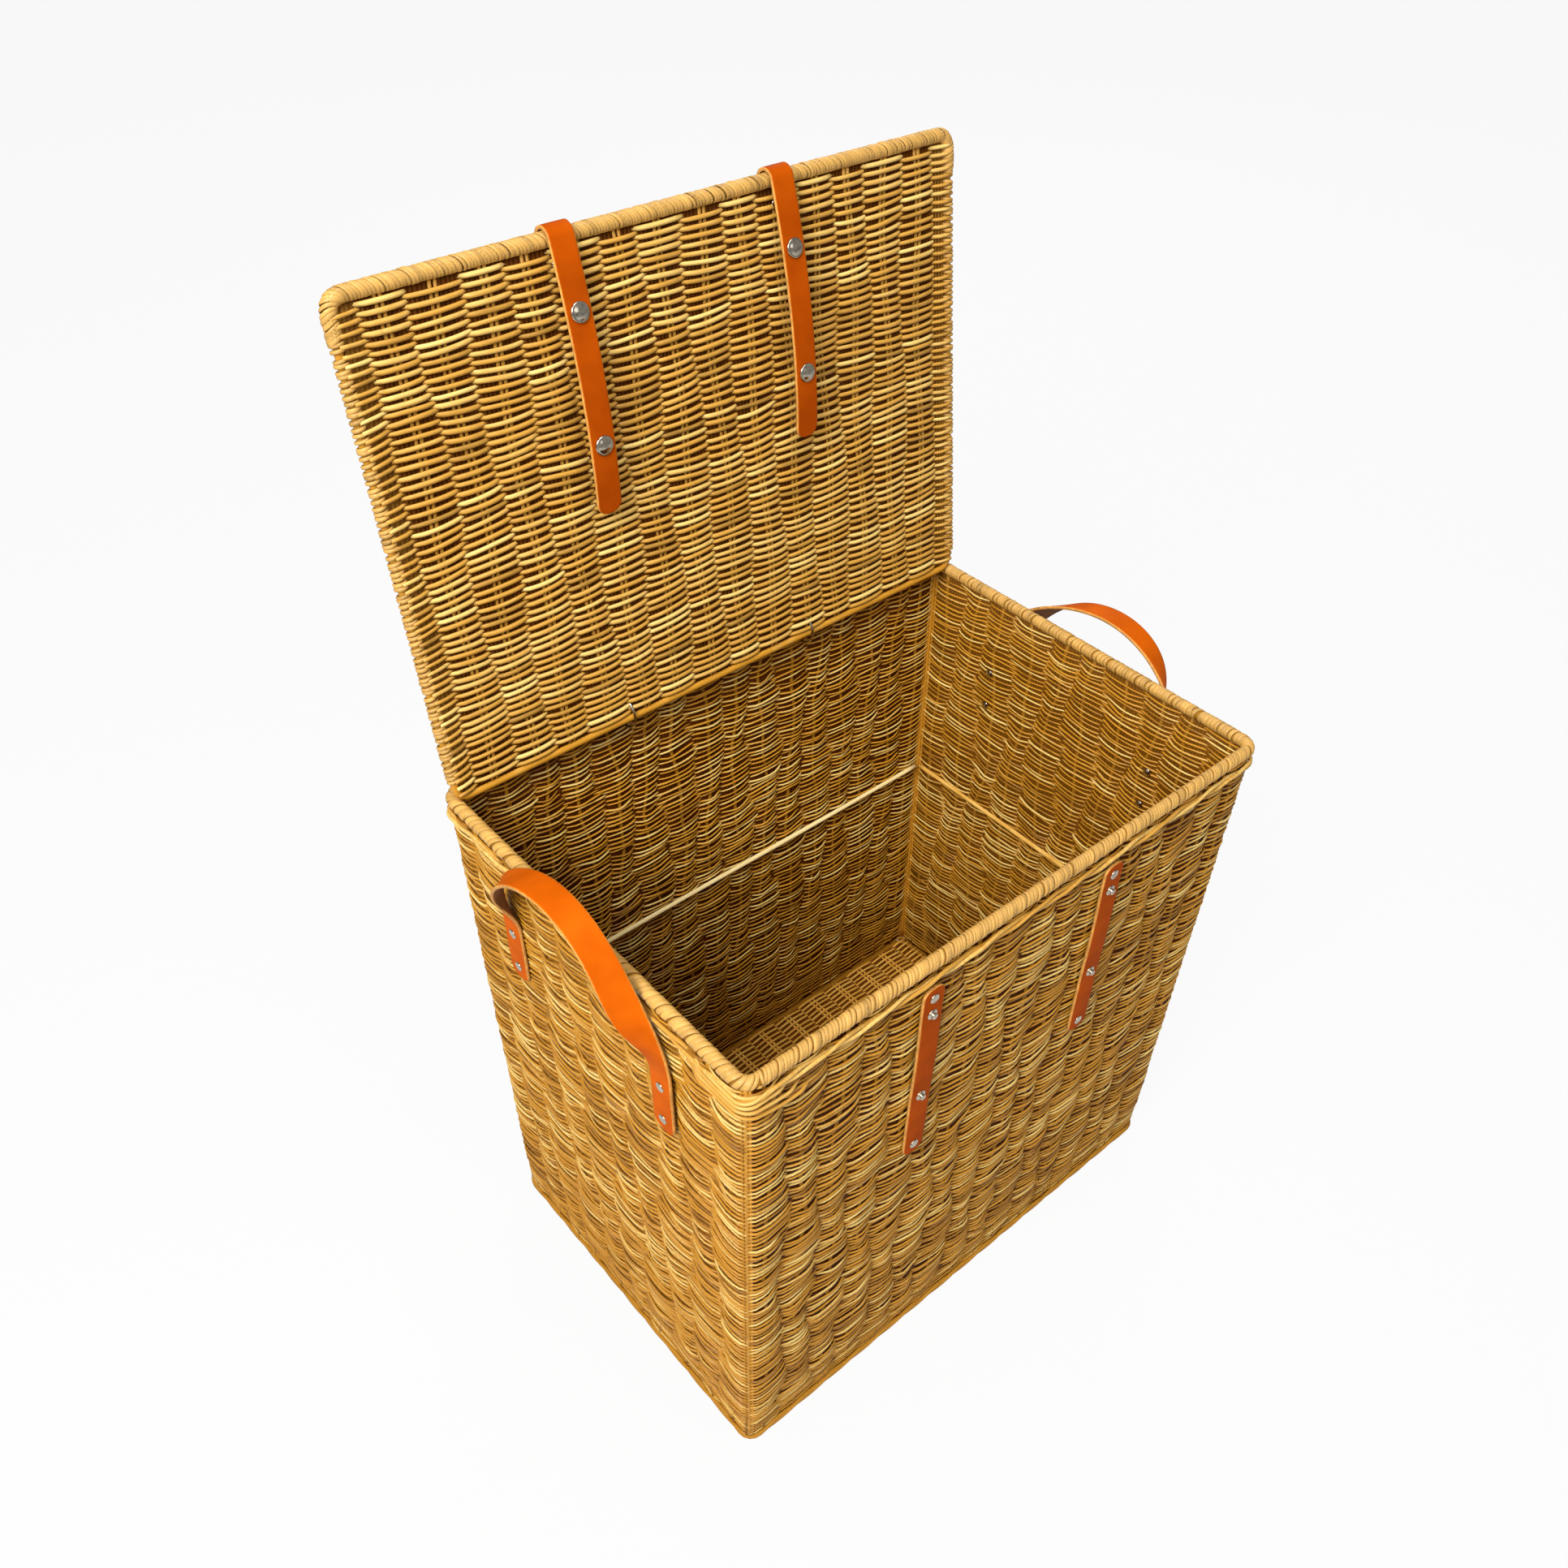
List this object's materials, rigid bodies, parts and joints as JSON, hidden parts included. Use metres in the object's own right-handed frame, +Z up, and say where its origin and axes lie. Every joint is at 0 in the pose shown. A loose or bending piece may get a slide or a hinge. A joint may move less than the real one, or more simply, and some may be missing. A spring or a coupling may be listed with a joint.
{
  "type": "lidded storage basket",
  "caption": "Tapered rectangular woven cane trunk with a hinged lid, leather closing straps with snap fasteners and a leather handle on each short side.",
  "frame": {"origin": "middle of the woven base's underside, on the floor", "axes": "+Z up, +X along the long side to the right, -Y towards the front with the two tabs; the lid stands open at the back"},
  "size_m": [0.5655, 0.3932, 0.844],
  "materials": {
    "rattan": "natural peeled cane with a light varnish",
    "cane": "smooth skin-on cane",
    "leather": "smooth orange tan grain, pale cut edges",
    "nickel": "bright nickel plate"
  },
  "bodies": {
    "basket": {"base_weave": "rattan", "foot_rod": "rattan", "front_wall": "rattan", "back_wall": "rattan", "left_wall": "rattan", "right_wall": "rattan", "corner_post_front_left": "rattan", "corner_post_front_right": "rattan", "corner_post_back_left": "rattan", "corner_post_back_right": "rattan", "mouth_rim_rod": "rattan", "mouth_rim_lashing": "cane", "rail_front": "cane", "rail_back": "cane", "rail_left": "cane", "rail_right": "cane", "hinge_ring_left": "nickel", "hinge_ring_right": "nickel", "tab_left": "leather", "tab_left_top_rivet": "nickel", "tab_left_upper_stud": "nickel", "tab_left_lower_stud": "nickel", "tab_left_bottom_rivet": "nickel", "tab_right": "leather", "tab_right_top_rivet": "nickel", "tab_right_upper_stud": "nickel", "tab_right_lower_stud": "nickel", "tab_right_bottom_rivet": "nickel", "handle_left_front_end": "leather", "handle_left_front_upper_rivet": "nickel", "handle_left_front_lower_rivet": "nickel", "handle_left_rear_end": "leather", "handle_left_rear_upper_rivet": "nickel", "handle_left_rear_lower_rivet": "nickel", "handle_right_front_end": "leather", "handle_right_front_upper_rivet": "nickel", "handle_right_front_lower_rivet": "nickel", "handle_right_rear_end": "leather", "handle_right_rear_upper_rivet": "nickel", "handle_right_rear_lower_rivet": "nickel"},
    "lid": {"lid_rod": "rattan", "lid_rim_lashing": "cane", "lid_weave": "rattan", "strap_left_anchor": "leather", "strap_left_bend": "leather", "strap_left_outer_rivet": "nickel", "strap_left_inner_rivet": "nickel", "strap_right_anchor": "leather", "strap_right_bend": "leather", "strap_right_outer_rivet": "nickel", "strap_right_inner_rivet": "nickel"},
    "strap_left": {"strap_left_tongue": "leather", "strap_left_upper_cap": "nickel", "strap_left_lower_cap": "nickel"},
    "strap_right": {"strap_right_tongue": "leather", "strap_right_upper_cap": "nickel", "strap_right_lower_cap": "nickel"},
    "handle_left": {"handle_left_arch": "leather"},
    "handle_right": {"handle_right_arch": "leather"}
  },
  "joints": [
    {"name": "lid_hinge", "type": "hinge", "parent": "basket", "child": "lid", "pos_m": [0, 0.157, 0.4909], "axis": [1, 0, 0], "range_deg": [0, 96.4]},
    {"name": "strap_left_swing", "type": "hinge", "parent": "lid", "child": "strap_left", "pos_m": [-0.096, 0.20416, 0.83518], "axis": [-1, 0, 0], "range_deg": [0, 168], "deforming": ["strap_left_bend"]},
    {"name": "strap_right_swing", "type": "hinge", "parent": "lid", "child": "strap_right", "pos_m": [0.085, 0.20416, 0.83518], "axis": [-1, 0, 0], "range_deg": [0, 168], "deforming": ["strap_right_bend"]},
    {"name": "handle_left_swing", "type": "hinge", "parent": "basket", "child": "handle_left", "pos_m": [-0.25559, 0, 0.40981], "axis": [0, -1, 0], "range_deg": [0, 95], "stiffness_Nm_per_rad": 0.3},
    {"name": "handle_right_swing", "type": "hinge", "parent": "basket", "child": "handle_right", "pos_m": [0.25559, 0, 0.40981], "axis": [0, 1, 0], "range_deg": [0, 95], "stiffness_Nm_per_rad": 0.3}
  ]
}
